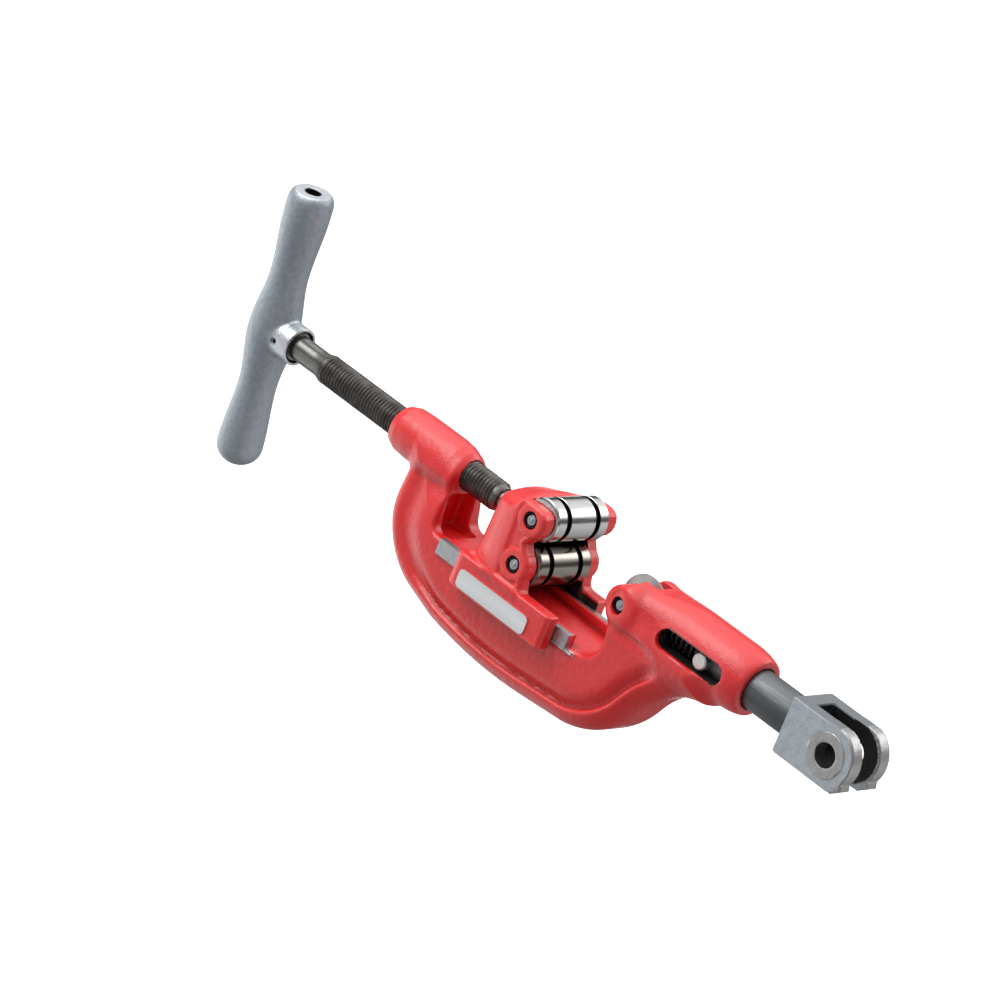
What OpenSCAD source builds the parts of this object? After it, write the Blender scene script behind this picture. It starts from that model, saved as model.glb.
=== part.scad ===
// Wheel pipe cutter with a full-floating mounting arm.
// X runs along the feed screw, +X towards the clevis. Y is the axis of the clevis bore, the wheel and the
// rollers. Z is up, towards the open side of the C frame. The origin is the centre of the clevis bore.

/* [Positions along the feed screw] */
// X of the cutter wheel's pin
wheel_x = -164.8; // [-168:0.1:-160]
// X of the two roller pins
roller_x = -237.9; // [-242:0.1:-234]
// X of the handle bar
handle_x = -500; // [-505:1:-490]
// X of the mouth of the spindle barrel
barrel_mouth_x = -69; // [-72:0.5:-63]

/* [Cutter wheel and rollers] */
// Radius of the cutting edge
wheel_r = 17.5; // [16:0.1:18]
// Radius of the rollers
roller_r = 13.1; // [12:0.1:13.5]
// Length of the rollers
roller_len = 46; // [42:0.5:46]
// Height of each roller's axis above or below the cutting line
roller_dz = 14.6; // [14.2:0.1:16]
// Radius of the roller pins and the wheel pin
pin_r = 3.8; // [3:0.05:4.2]

/* [Frame casting] */
// Half the width of the frame across its cheeks
frame_hw = 22; // [20:0.5:23]
// Top of the machined ways
way_top = -33; // [-34:0.5:-32]
// Half the distance across the machined way faces
way_hw = 24; // [23.5:0.1:24.5]
// Radius of the threaded boss
boss_r = 15.6; // [14:0.1:17]
// Radius of the spindle barrel
barrel_r = 20.4; // [19:0.1:22]

/* [Slide] */
// Half the width of the slide
slide_hw = 33; // [32:0.5:34]
// Radius of the ears around the roller pins
ear_r = 11; // [9:0.1:12]
// Lowest edge of the slide's skirts
skirt_bottom = -47.8; // [-50:0.1:-47]

/* [Feed screw and handle] */
// Outer radius of the thread
screw_r = 9.52; // [9:0.01:9.52]
// Radius of the plain shank in the handle
shank_r = 8; // [7:0.1:8.5]
// Length of the handle bar
handle_len = 188; // [170:1:200]
// Lean of the handle bar about the screw's axis, in degrees
handle_lean = 6; // [-180:0.5:180]

/* [Mounting arm] */
// Radius of the spindle
spindle_r = 12.7; // [12:0.1:12.7]
// Half the width across the clevis ears
clevis_hw = 16.9; // [16:0.1:18]
// Radius of the clevis bore
clevis_bore_r = 7.15; // [6:0.05:8]
// Width of the gap between the clevis ears
clevis_gap = 16; // [14:0.5:18]
// Radius of the stop pin that crosses the spindle
stop_pin_r = 5; // [4:0.1:5.4]

/* [Hidden] */
$fn = 64;
run_gap = 0.05;      // radial running clearance
slide_gap = 0.3;     // clearance between flat faces that slide

// Stations of the feed screw, from the handle to the slide
shank_end_x = -452;
thread_start_x = -447;
thread_end_x = -293;
tip_x = -289;
tip_r = 7.6;
neck_r = 6;
neck_end_x = -266;
groove_r = 4.4;
groove_x = -274;                  // groove in the neck that the lock pins sit in
groove_hw = 2.4;
lock_pin_r = 2;
lock_pin_z = groove_r + lock_pin_r + 0.1;
hub_face_x = -474.7;
hub_r = 12.5;
bar_swell_r = 15.9;                 // radii of the handle bar at its middle, its waists and its bulbs
bar_waist_r = 12.1;
bar_bulb_r = 14.5;
bar_waist_z = 38;
bar_bulb_z = 80;
bar_hole_r = 5;
bar_hole_depth = 14;
handle_pin_x = -486;
handle_pin_r = 2.4;

// Stations of the frame casting
boss_x = [-379, -316];
post_x = [-354, -312];
base_arc = [-299, -25, 55];       // centre x, z and radius where the post turns into the base
under_arc = [-236, 213, 303];     // the long curve under the base
head_arc = [-184.5, -24.5, 61.5]; // where the base turns up to the barrel
neck_arc = [-76.7, -81.3, 60.3];  // the hollow curve under the barrel
head_r = 14;                      // radius of the head around the wheel pin
head_hw = frame_hw - 0.2;         // half the width across the head's cheeks
way_x = [-303, -182];
way_bottom = -43;
web_top = -34.8;
web_hw = 18;
throat_r = 9;                     // fillets at the foot of the throat
head_face_x = -171;
barrel_bottom_x = -142;           // closed end of the spindle bore
barrel_root_x = -150;
wheel_slot_hw = 6.6;              // half the width of the wheel's slot
wheel_slot_r = wheel_r + 1.7;     // radius of the slot about the wheel pin
stop_slot = [-133.5, -82];      // ends of the slot for the stop pin
stop_slot_r = 6;
stop_pin_x = -101.5;

// Stations of the slide
slide_back_x = -276;
screw_boss_x = -281;
screw_boss_r = 9.6;
skirt_x = [-281, -198.5];
far_skirt_end = skirt_x[1] - 14;  // the far skirt stops short of the head
skirt_top = -28;
skirt_inner = way_hw + slide_gap;
ear_inner = roller_len / 2 + slide_gap;
rebate_y = 30.5;
keeper_top = way_bottom - 0.4;
keeper_hw = [frame_hw + 0.4, rebate_y - 0.2];
keeper_x = [skirt_x[0] + 10, far_skirt_end - 6];
keeper_screw_r = 2;
keeper_head_r = 2.9;
keeper_screw_x = [keeper_x[0] + 8, keeper_x[1] - 8];
keeper_screw_y = 26.6;
plate_size = [59, 11.6, 1.5];
plate_mid = [-241, -40.9];
roller_groove = [10.4, 14.8];     // the two turned grooves, out from the middle of the roller
ring_r = 5.2;
ring_t = 1.2;
ring_depth = 2;

// Stations of the mounting arm
clevis_back_x = -35.1;
clevis_hh = 18.3;
clevis_slot_x = -24;
clevis_face_r = 13.3;
clevis_tip_r = 19.5;
tang_r = 9;
tang_x = -28;
spindle_end_x = -108;
spring_wire_r = 0.95;
spring_r = 10;
spring_turns = 8;
stop_pin_len = 36;

// ---- Small helpers ----

// Cylinder along X from x0 to x1
module xcyl(r, x0, x1) translate([x0, 0, 0]) rotate([0, 90, 0]) cylinder(r = r, h = x1 - x0);

// Cylinder along Y from y0 to y1, at x and z
module ycyl(r, y0, y1, x = 0, z = 0)
    translate([x, y1, z]) rotate([90, 0, 0]) cylinder(r = r, h = y1 - y0);

// Box between two corners
module block(a, b) translate(a) cube(b - a);

// Extrude a profile drawn in X and Z along Y, from y0 to y1
module along_y(y0, y1) translate([0, y1, 0]) rotate([90, 0, 0]) linear_extrude(y1 - y0) children();

// Turn a profile of [x, radius] points around the X axis
module turned_x(points)
    rotate([0, 90, 0]) rotate_extrude() polygon([for (p = points) [p[1], p[0]]]);

// Turn a profile of [y, radius] points around an axis along Y at x and z
module turned_y(points, x = 0, z = 0)
    translate([x, 0, z]) rotate([-90, 0, 0]) rotate_extrude() polygon([for (p = points) [p[1], p[0]]]);

// The same thing on both sides of the XZ plane
module both_sides() {
    children();
    mirror([0, 1, 0]) children();
}

// Points of an arc about c, from angle a0 to a1
function arc(c, r, a0, a1, n = 12) =
    [for (i = [0:n]) c + r * [cos(a0 + (a1 - a0) * i / n), sin(a0 + (a1 - a0) * i / n)]];

// Blend from a to b as t goes from 0 to 1, level at both ends
function ease(a, b, t) = a + (b - a) * (1 - cos(180 * t)) / 2;

// ---- Frame ----

// Arc of one of the outline's circles, given as [x, z, radius]
function outline_arc(c, a0, a1, n) = arc([c[0], c[1]], c[2], a0, a1, n);

// Outer outline of the C, from the top of the post round to the barrel
function c_outer() =
    concat([[post_x[0], 6]],
           outline_arc(base_arc, 180, 253, 16),
           outline_arc(under_arc, 257, 279, 12),
           outline_arc(head_arc, 281, 332, 16),
           outline_arc(neck_arc, 152, 112, 10));

// Inner outline of the throat, from the wheel head down, along the ways and up the post
function c_inner() =
    concat([[-100, 0], [head_face_x, 0]],
           arc([head_face_x - throat_r, way_top + throat_r], throat_r, 0, -90, 8),
           arc([post_x[1] + throat_r, way_top + throat_r], throat_r, 270, 180, 8),
           [[post_x[1], 6]]);

module c_band() along_y(-frame_hw, frame_hw) polygon(concat(c_outer(), c_inner()));

// Rounds the lower edge of the C along X, and its back edge along Z
module c_rounding() {
    r = frame_hw;
    lowest = under_z();
    intersection() {
        rotate([90, 0, 90]) translate([0, 0, -400]) linear_extrude(400) union() {
            translate([-frame_hw, lowest + r]) square([2 * frame_hw, 200]);
            translate([0, lowest + r]) circle(r);
        }
        translate([0, 0, -150]) linear_extrude(300) union() {
            translate([post_x[0] + r, -frame_hw]) square([500, 2 * frame_hw]);
            translate([post_x[0] + r, 0]) circle(r);
        }
    }
}

function under_z() = under_arc[1] - under_arc[2];

module boss_outside()
    turned_x(concat([[boss_x[0], 0]],
                    [for (a = [0:15:90]) [boss_x[0] + 7 - 7 * cos(a), boss_r - 6 + 6 * sin(a)]],
                    [for (a = [90:-15:0]) [boss_x[1] - 10 + 10 * cos(a), boss_r - 4 + 4 * sin(a)]],
                    [[boss_x[1], 0]]));

module barrel_outside()
    turned_x(concat([[barrel_root_x, 0], [barrel_root_x, barrel_r - 3]],
                    [for (t = [0:0.25:1])
                        [ease(barrel_root_x + 4, -120, t), ease(barrel_r - 3, barrel_r, t)]],
                    [for (a = [90:-15:0]) [barrel_mouth_x - 17 + 17 * cos(a), barrel_r - 5 + 5 * sin(a)]],
                    [[barrel_mouth_x, 0]]));

module stop_slot_cut()
    along_y(-40, 40) for (x = stop_slot) {
        side = x == stop_slot[0] ? 1 : -1;
        translate([x + side * stop_slot_r, 0]) circle(stop_slot_r);
        translate([stop_slot[0] + stop_slot_r, -stop_slot_r])
            square([stop_slot[1] - stop_slot[0] - 2 * stop_slot_r, 2 * stop_slot_r]);
    }

module c_frame() color("#d83a3a") difference() {
    union() {
        difference() {
            intersection() {
                c_band();
                c_rounding();
            }
            // Channel down the inside of the post
            block([post_x[0] + 14, -11, -30], [post_x[1] + 1, 11, -boss_r + 2]);
            // Hollow between the ways
            block([way_x[0] + 2, -web_hw, web_top], [way_x[1] - 2, web_hw, way_top + 1]);
        }
        // Machined ways
        both_sides() block([way_x[0], -way_hw, way_bottom], [way_x[1], -web_hw - 1, way_top]);
        boss_outside();
        barrel_outside();
        // Head around the cutter wheel, running back into the barrel
        ycyl(head_r, -head_hw, head_hw, wheel_x);
        along_y(-head_hw, head_hw)
            polygon([[wheel_x, -30], [wheel_x, head_r],
                     [barrel_bottom_x, head_r + 4], [barrel_bottom_x, -30]]);
    }
    // Threaded bore for the feed screw
    xcyl(screw_r + run_gap, boss_x[0] - 1, post_x[1] + 1);
    // Bore for the spindle
    xcyl(spindle_r + run_gap, barrel_bottom_x, barrel_mouth_x + 1);
    stop_slot_cut();
    // Slot for the cutter wheel
    ycyl(wheel_slot_r, -wheel_slot_hw, wheel_slot_hw, wheel_x);
    // Bore and counterbores for the wheel pin
    ycyl(pin_r + 0.02, -30, 30, wheel_x);
    both_sides() ycyl(ring_r + 0.1, -30, -head_hw + ring_depth, wheel_x);
}

// ---- Wheel and its pin ----

module ring_pair(x, z, face) both_sides() difference() {
    ycyl(ring_r, face + ring_depth - ring_t, face + ring_depth, x, z);
    ycyl(pin_r + 0.02, face, face + 3, x, z);
}

module wheel_pin() color("#b9bcc0")
    ycyl(pin_r, -head_hw + 0.4, head_hw - 0.4, wheel_x);

module wheel_pin_rings() color("#1c1c1e") ring_pair(wheel_x, 0, -head_hw);

module wheel_washers() color("#8d9094") both_sides() difference() {
    ycyl(7, -wheel_slot_hw + 0.1, -wheel_slot_hw + 1.1, wheel_x);
    ycyl(pin_r + 0.05, -10, 0, wheel_x);
}

// Hub with a thin disc that narrows to the cutting edge
module cutter_wheel() color("#9a9da1") difference() {
    turned_y([[-5.2, 0], [-5.2, 7], [-4.7, 7.5], [-2.4, 8.4], [-2, 10], [-1.6, 12.5], [0, wheel_r],
              [1.6, 12.5], [2, 10], [2.4, 8.4], [4.7, 7.5], [5.2, 7], [5.2, 0]], wheel_x);
    ycyl(pin_r + run_gap, -10, 10, wheel_x);
}

// ---- Slide ----

// Side of the slide above its skirt
module ear_profile() {
    translate([roller_x, roller_dz]) circle(ear_r);
    translate([roller_x, -roller_dz]) circle(ear_r);
    polygon([[slide_back_x - 1, -31], [slide_back_x + 2, 13], [-264, 22], [-254, 25.5],
             [roller_x + 2, roller_dz + ear_r - 0.5], [roller_x + 3, 0], [roller_x + 8, -roller_dz - 6],
             [-227, skirt_top], [-227, -31]]);
}

module slide_housing() color("#dc4040") difference() {
    union() {
        intersection() {
            union() {
                both_sides() along_y(-slide_hw, -ear_inner) ear_profile();
                // Back wall between the ears
                along_y(-slide_hw, slide_hw)
                    polygon([[slide_back_x - 1, -31], [slide_back_x + 2, 13], [-264, 22], [-254, 25.5],
                             [-248, 25.5], [-246, -31]]);
            }
            // The sides taper in towards the back
            translate([0, 0, -100]) linear_extrude(200)
                polygon([[-200, -slide_hw], [-256, -slide_hw], [slide_back_x - 5, -20],
                         [slide_back_x - 5, 20], [-256, slide_hw], [-200, slide_hw]]);
        }
        // Floor over the ways and skirts beside them
        block([skirt_x[0], -skirt_inner, way_top + slide_gap], [roller_x - 4, skirt_inner, skirt_top]);
        skirt(skirt_x[1]);
        mirror([0, 1, 0]) skirt(far_skirt_end);
        xcyl(screw_boss_r, screw_boss_x, slide_back_x + 12);
    }
    // Roller space, cleared all round
    for (z = [-roller_dz, roller_dz])
        ycyl(roller_r + 0.8, -ear_inner, ear_inner, roller_x, z);
    block([roller_x - 8, -ear_inner, -roller_dz], [roller_x + 30, ear_inner, roller_dz]);
    // Bores and counterbores for the roller pins
    for (z = [-roller_dz, roller_dz]) {
        ycyl(pin_r + 0.02, -40, 40, roller_x, z);
        both_sides() ycyl(ring_r + 0.1, -40, -slide_hw + ring_depth, roller_x, z);
    }
    // Socket for the end of the feed screw
    xcyl(neck_r + run_gap, screw_boss_x - 1, neck_end_x + 2.4);
    // Holes for the two lock pins, open at the far side
    for (z = [-1, 1])
        ycyl(lock_pin_r + 0.02, -9, 40, groove_x, z * lock_pin_z);
    // Threaded holes for the keeper screws
    both_sides() for (x = keeper_screw_x)
        translate([x, -keeper_screw_y, skirt_bottom]) cylinder(r = keeper_screw_r + 0.05, h = 14);
}

module skirt(end) difference() {
    intersection() {
        block([skirt_x[0], -slide_hw, skirt_bottom], [end, -skirt_inner, skirt_top]);
        // Rounded corners seen from above
        translate([0, 0, -60]) linear_extrude(60) union() {
            translate([skirt_x[0] + 8, -slide_hw]) square([end - skirt_x[0] - 16, 20]);
            translate([skirt_x[0], -slide_hw + 8]) square([end - skirt_x[0], 20]);
            for (x = [skirt_x[0] + 8, end - 8]) translate([x, -slide_hw + 8]) circle(8);
        }
    }
    // Rebate for the way keeper
    block([keeper_x[0] - 0.2, -rebate_y, skirt_bottom - 1], [keeper_x[1] + 0.2, 0, keeper_top]);
}

module roller(z) color("#c4c6ca") difference() {
    h = roller_len / 2;
    g = 1.6;
    groove = roller_groove;
    turned_y([[-h, 0], [-h, roller_r - 1.2], [-h + 1.2, roller_r],
              [-groove[1], roller_r], [-groove[1], roller_r - g],
              [-groove[0], roller_r - g], [-groove[0], roller_r],
              [groove[0], roller_r], [groove[0], roller_r - g],
              [groove[1], roller_r - g], [groove[1], roller_r],
              [h - 1.2, roller_r], [h, roller_r - 1.2], [h, 0]], roller_x, z);
    ycyl(pin_r + run_gap, -30, 30, roller_x, z);
}

module roller_pin(z) color("#b9bcc0") ycyl(pin_r, -slide_hw + 0.5, slide_hw - 0.5, roller_x, z);

module upper_roller() roller(roller_dz);
module lower_roller() roller(-roller_dz);
module upper_roller_pin() roller_pin(roller_dz);
module lower_roller_pin() roller_pin(-roller_dz);

module roller_pin_rings() color("#1c1c1e")
    for (z = [-roller_dz, roller_dz]) ring_pair(roller_x, z, -slide_hw);

module name_plate() color("#c9ccd0")
    along_y(-slide_hw - plate_size[2], -slide_hw) {
        corner = 3;
        translate(plate_mid - [plate_size[0] / 2, plate_size[1] / 2 - corner])
            square([plate_size[0], plate_size[1] - 2 * corner]);
        translate(plate_mid - [plate_size[0] / 2 - corner, plate_size[1] / 2])
            square([plate_size[0] - 2 * corner, plate_size[1]]);
        for (i = [-1, 1], j = [-1, 1])
            translate(plate_mid + [i * (plate_size[0] / 2 - corner), j * (plate_size[1] / 2 - corner)])
                circle(corner);
    }

module way_keepers() color("#6d7074") both_sides() difference() {
    block([keeper_x[0], -keeper_hw[1], skirt_bottom + 0.5], [keeper_x[1], -keeper_hw[0], keeper_top]);
    for (x = keeper_screw_x) translate([x, -keeper_screw_y, skirt_bottom - 1]) {
        cylinder(r = keeper_screw_r + 0.05, h = 10);
        cylinder(r = keeper_head_r + 0.1, h = 3.5);
    }
}

module keeper_screws() color("#2a2a2c") both_sides() for (x = keeper_screw_x)
    translate([x, -keeper_screw_y, skirt_bottom + 0.6]) difference() {
        union() {
            cylinder(r = keeper_head_r, h = 1.9);
            cylinder(r = keeper_screw_r, h = 12);
        }
        translate([0, 0, -0.1]) cylinder(r = 1.6, h = 1.3, $fn = 6);
    }

module screw_lock_pins() color("#8d9094") for (z = [-1, 1])
    ycyl(lock_pin_r, -8.5, slide_hw - 7, groove_x, z * lock_pin_z);

// Hardened disc that takes the screw's push at the bottom of its socket
module thrust_button() color("#7d8084") xcyl(neck_r - 0.1, neck_end_x + 0.3, neck_end_x + 2.3);

// ---- Feed screw and handle ----

module feed_screw() color("#3b3835") difference() {
    turned_x([[handle_x - 6, 0], [handle_x - 6, shank_r], [shank_end_x, shank_r], [thread_start_x, screw_r],
              [thread_end_x, screw_r], [tip_x, tip_r], [tip_x, neck_r],
              [groove_x - groove_hw, neck_r], [groove_x - groove_hw, groove_r],
              [groove_x + groove_hw, groove_r], [groove_x + groove_hw, neck_r],
              [neck_end_x - 1, neck_r], [neck_end_x, neck_r - 1], [neck_end_x, 0]]);
    rotate([handle_lean, 0, 0]) ycyl(handle_pin_r + 0.02, -20, 20, handle_pin_x);
}

// Radius of the handle bar at height z: a swell at the middle and a bulb near each end
function bar_r(z) =
    let (a = abs(z))
    a < bar_waist_z ? ease(bar_swell_r, bar_waist_r, a / bar_waist_z) :
    ease(bar_waist_r, bar_bulb_r, min(1, (a - bar_waist_z) / (bar_bulb_z - bar_waist_z)));

// Outline of half the bar: rounded lower end, swelling length, nearly flat upper end
function bar_outline() =
    let (half = handle_len / 2)
    concat([for (a = [-90:15:0]) [bar_bulb_r * cos(a), -half + 13 + 13 * sin(a)]],
           [for (z = [-bar_bulb_z:4:bar_bulb_z]) [bar_r(z), z]],
           [for (a = [0:15:75]) [bar_bulb_r - 3 + 3 * cos(a), half - 5 + 5 * sin(a)]],
           [[0, half]]);

module t_handle() color("#8f9aa6") rotate([handle_lean, 0, 0]) difference() {
    union() {
        translate([handle_x, 0, 0]) rotate_extrude() polygon(bar_outline());
        xcyl(hub_r, handle_x, hub_face_x);
    }
    xcyl(shank_r + 0.02, handle_x - 6, hub_face_x + 1);
    ycyl(handle_pin_r + 0.02, -20, 20, handle_pin_x);
    // Blind hole in the upper end of the bar
    translate([handle_x, 0, handle_len / 2 - bar_hole_depth]) cylinder(r = bar_hole_r, h = 20);
}

// Roll pin through the hub and the shank
module handle_pin() color("#55585c") rotate([handle_lean, 0, 0]) difference() {
    ycyl(handle_pin_r, -hub_r + 0.8, hub_r - 0.8, handle_pin_x);
    ycyl(handle_pin_r - 0.9, -20, 20, handle_pin_x);
}

// ---- Mounting arm ----

module clevis_profile() difference() {
    union() {
        translate([clevis_back_x, -clevis_hh + 0.5]) square([-clevis_back_x + 5, 2 * clevis_hh - 0.5]);
        intersection() {
            circle(clevis_tip_r);
            translate([-30, -clevis_hh + 0.5]) square([60, 60]);
        }
        polygon([[0, -clevis_hh + 0.5], [12, -clevis_hh + 0.5], [18.4, -13], [18.4, 0], [0, 0]]);
    }
    // Clipped upper corner of the tip
    translate([-60, clevis_hh]) square([120, 20]);
}

module clevis() color("#9aa2aa") difference() {
    union() {
        along_y(-clevis_hw, clevis_hw) clevis_profile();
        both_sides() ycyl(clevis_face_r, -clevis_hw - 0.4, -clevis_hw + 1);
    }
    block([clevis_slot_x, -clevis_gap / 2, -40], [40, clevis_gap / 2, 40]);
    ycyl(clevis_bore_r, -30, 30);
    // Socket for the spindle's tang
    xcyl(tang_r + 0.02, clevis_back_x - 1, tang_x + 0.3);
}

module spindle() color("#77797c") difference() {
    turned_x([[spindle_end_x, 0], [spindle_end_x, spindle_r - 1], [spindle_end_x + 1, spindle_r],
              [clevis_back_x - 0.05, spindle_r], [clevis_back_x - 0.05, tang_r],
              [tang_x, tang_r], [tang_x, 0]]);
    ycyl(stop_pin_r + 0.02, -30, 30, stop_pin_x);
}

module stop_pin() color("#d5d6d8")
    ycyl(stop_pin_r, -stop_pin_len / 2, stop_pin_len / 2, stop_pin_x);

// The spring's wire is a ring of points swept along a helix, between the spindle and the end of its bore
function helix(t, first, last) =
    let (a = 360 * spring_turns * t)
    [first + (last - first) * t, spring_r * cos(a), spring_r * sin(a)];

// A point on the wire's surface: t runs along the wire and b round it
function wire_point(t, b, first, last) =
    let (a = 360 * spring_turns * t, c = helix(t, first, last))
    c + spring_wire_r * [cos(b), sin(b) * cos(a), sin(b) * sin(a)];

module float_spring() color("#26262a") {
    sides = 8;
    rings = 18 * spring_turns;
    first = barrel_bottom_x + spring_wire_r + 0.1;
    last = spindle_end_x - spring_wire_r - 0.1;
    polyhedron(
        points = [for (i = [0:rings], j = [0:sides - 1]) wire_point(i / rings, 360 * j / sides, first, last)],
        faces = concat(
            [[for (j = [0:sides - 1]) j]],
            [for (i = [0:rings - 1], j = [0:sides - 1])
                let (a = i * sides, b = a + sides, k = (j + 1) % sides)
                [a + j, b + j, b + k, a + k]],
            [[for (j = [sides - 1:-1:0]) rings * sides + j]]));
}

c_frame();
wheel_pin();
wheel_pin_rings();
wheel_washers();
cutter_wheel();
slide_housing();
upper_roller();
lower_roller();
upper_roller_pin();
lower_roller_pin();
roller_pin_rings();
name_plate();
way_keepers();
keeper_screws();
screw_lock_pins();
thrust_button();
feed_screw();
t_handle();
handle_pin();
clevis();
spindle();
stop_pin();
float_spring();
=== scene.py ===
"""Looks for the wheel pipe cutter: castings contoured from distance fields, turned parts as meshes.

Sizes inside the shape functions are in millimetres, in the row frame; meshes are made in metres.
"""

import math

import bpy
import numpy as np
from mathutils import Matrix, Vector


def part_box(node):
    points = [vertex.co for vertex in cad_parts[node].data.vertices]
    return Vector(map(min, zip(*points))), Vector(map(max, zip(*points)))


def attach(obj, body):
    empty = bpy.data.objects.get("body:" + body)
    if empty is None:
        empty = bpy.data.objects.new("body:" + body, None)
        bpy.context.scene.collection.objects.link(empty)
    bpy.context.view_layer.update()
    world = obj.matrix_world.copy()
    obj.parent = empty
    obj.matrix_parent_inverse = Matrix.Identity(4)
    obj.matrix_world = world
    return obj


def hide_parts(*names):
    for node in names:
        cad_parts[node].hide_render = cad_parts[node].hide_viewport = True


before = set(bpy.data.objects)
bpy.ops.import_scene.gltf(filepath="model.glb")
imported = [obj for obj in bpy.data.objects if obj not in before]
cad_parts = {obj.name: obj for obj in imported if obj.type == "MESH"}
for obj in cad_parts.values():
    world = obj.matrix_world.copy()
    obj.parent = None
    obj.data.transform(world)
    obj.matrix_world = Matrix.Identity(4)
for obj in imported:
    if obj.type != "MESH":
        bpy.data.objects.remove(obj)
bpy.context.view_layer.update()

MM = 0.001
STEP = 1.0        # grid of the contoured castings

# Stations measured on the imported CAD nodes, in millimetres


def low(node):
    return np.array(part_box(node)[0]) / MM


def high(node):
    return np.array(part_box(node)[1]) / MM


def middle(node):
    return (low(node) + high(node)) / 2


WHEEL = middle("cutter_wheel")
WHEEL_R = (high("cutter_wheel") - low("cutter_wheel"))[0] / 2
UPPER = middle("upper_roller")
LOWER = middle("lower_roller")
ROLLER_R = (high("upper_roller") - low("upper_roller"))[2] / 2
ROLLER_HALF = high("upper_roller")[1]
PIN_R = (high("wheel_pin") - low("wheel_pin"))[2] / 2
SCREW_R = high("feed_screw")[2]
SPINDLE_R = high("spindle")[2]
RING_R = (high("wheel_pin_rings") - low("wheel_pin_rings"))[2] / 2
SLIDE_HALF = high("slide_housing")[1]
SKIRT_LOW = low("slide_housing")[2]
WAY_HALF = high("c_frame")[1]


# ---------------------------------------------------------------- camera, floor and light

def look(obj, target):
    """Turns a camera or light so that its -Z axis points at target."""
    obj.rotation_euler = (Vector(target) - obj.location).to_track_quat("-Z", "Y").to_euler()


CAMERA_ANGLES = (37.65, 20.24, 21.77)    # azimuth, elevation and roll in degrees
CAMERA_TARGET = Vector((-0.2134, -0.0978, 0.0440))
CAMERA_DISTANCE = 2.8
LENS, SENSOR = 180, 36                   # millimetres


def make_camera():
    """A long lens at the photograph's viewing angle."""
    azimuth, elevation, roll = (math.radians(a) for a in CAMERA_ANGLES)
    data = bpy.data.cameras.new("camera")
    data.lens = LENS
    data.sensor_width = SENSOR
    data.clip_end = 100
    cam = bpy.data.objects.new("camera", data)
    back = Vector((math.sin(azimuth) * math.cos(elevation),
                   -math.cos(azimuth) * math.cos(elevation),
                   math.sin(elevation)))
    side = Vector((math.cos(azimuth), math.sin(azimuth), 0))
    up = back.cross(side)
    right = math.cos(roll) * side + math.sin(roll) * up
    top = math.cos(roll) * up - math.sin(roll) * side
    turn = Matrix((right, top, back)).transposed().to_4x4()
    cam.matrix_world = Matrix.Translation(CAMERA_TARGET + CAMERA_DISTANCE * back) @ turn
    bpy.context.collection.objects.link(cam)
    bpy.context.scene.camera = cam


def area_light(name, place, target, size, power):
    data = bpy.data.lights.new(name, "AREA")
    data.shape = "RECTANGLE"
    data.size, data.size_y = size
    data.energy = power
    light = bpy.data.objects.new(name, data)
    light.location = place
    look(light, target)
    bpy.context.collection.objects.link(light)


# Soft lights all round: the direction as right, up and towards the camera, then the strength
SOFT_LIGHTS = (
    ((0.0, 1.0, 0.1), 2.2),
    ((-1.0, 1.0, 1.0), 1.5),
    ((-1.0, 0.1, -0.9), 2.4),
    ((-1.0, 0.0, 0.2), 0.35),
    ((1.0, 0.3, -0.1), 1.5),
    ((0.8, -1.0, 0.5), 1.2),
    ((0.0, 0.0, 1.0), 0.55),
    ((-0.5, -1.0, 0.1), 0.3),
    ((0.4, 0.75, -0.55), 0.85),
    ((0.6, -0.65, -0.5), 0.5),
)
LOBE_POWER = 5.0             # how fast a soft light fades away from its direction
BAND_HEIGHT = 0.2            # height of the dark band above the horizon


def make_world():
    """A studio of soft lights, with a dark band above the horizon for the bare metal to reflect."""
    world = bpy.data.worlds.new("studio")
    world.use_nodes = True
    nodes, links = world.node_tree.nodes, world.node_tree.links

    def math_node(operation, first, second):
        node = nodes.new("ShaderNodeMath")
        node.operation = operation
        for socket, value in zip(node.inputs, (first, second)):
            if isinstance(value, (int, float)):
                socket.default_value = value
            else:
                links.new(value, socket)
        return node.outputs["Value"]

    place = nodes.new("ShaderNodeTexCoord")
    turn = bpy.context.scene.camera.matrix_world.to_3x3()
    total = 0.0
    for direction, strength in SOFT_LIGHTS:
        towards = nodes.new("ShaderNodeVectorMath")
        towards.operation = "DOT_PRODUCT"
        links.new(place.outputs["Generated"], towards.inputs[0])
        towards.inputs[1].default_value = (turn @ Vector(direction)).normalized()
        lobe = math_node("POWER", math_node("MAXIMUM", towards.outputs["Value"], 0.0), LOBE_POWER)
        total = math_node("ADD", math_node("MULTIPLY", lobe, strength), total)
    split = nodes.new("ShaderNodeSeparateXYZ")
    links.new(place.outputs["Generated"], split.inputs["Vector"])
    height = math_node("ABSOLUTE", math_node("SUBTRACT", split.outputs["Z"], BAND_HEIGHT), 0.0)
    band = nodes.new("ShaderNodeMapRange")
    for socket, number in (("From Min", 0.11), ("From Max", 0.2), ("To Min", 0.12), ("To Max", 1.0)):
        band.inputs[socket].default_value = number
    links.new(height, band.inputs["Value"])
    background = nodes["Background"]
    links.new(math_node("MULTIPLY", total, band.outputs["Result"]), background.inputs["Strength"])
    background.inputs["Color"].default_value = (0.8, 0.8, 0.8, 1)
    bpy.context.scene.world = world


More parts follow.
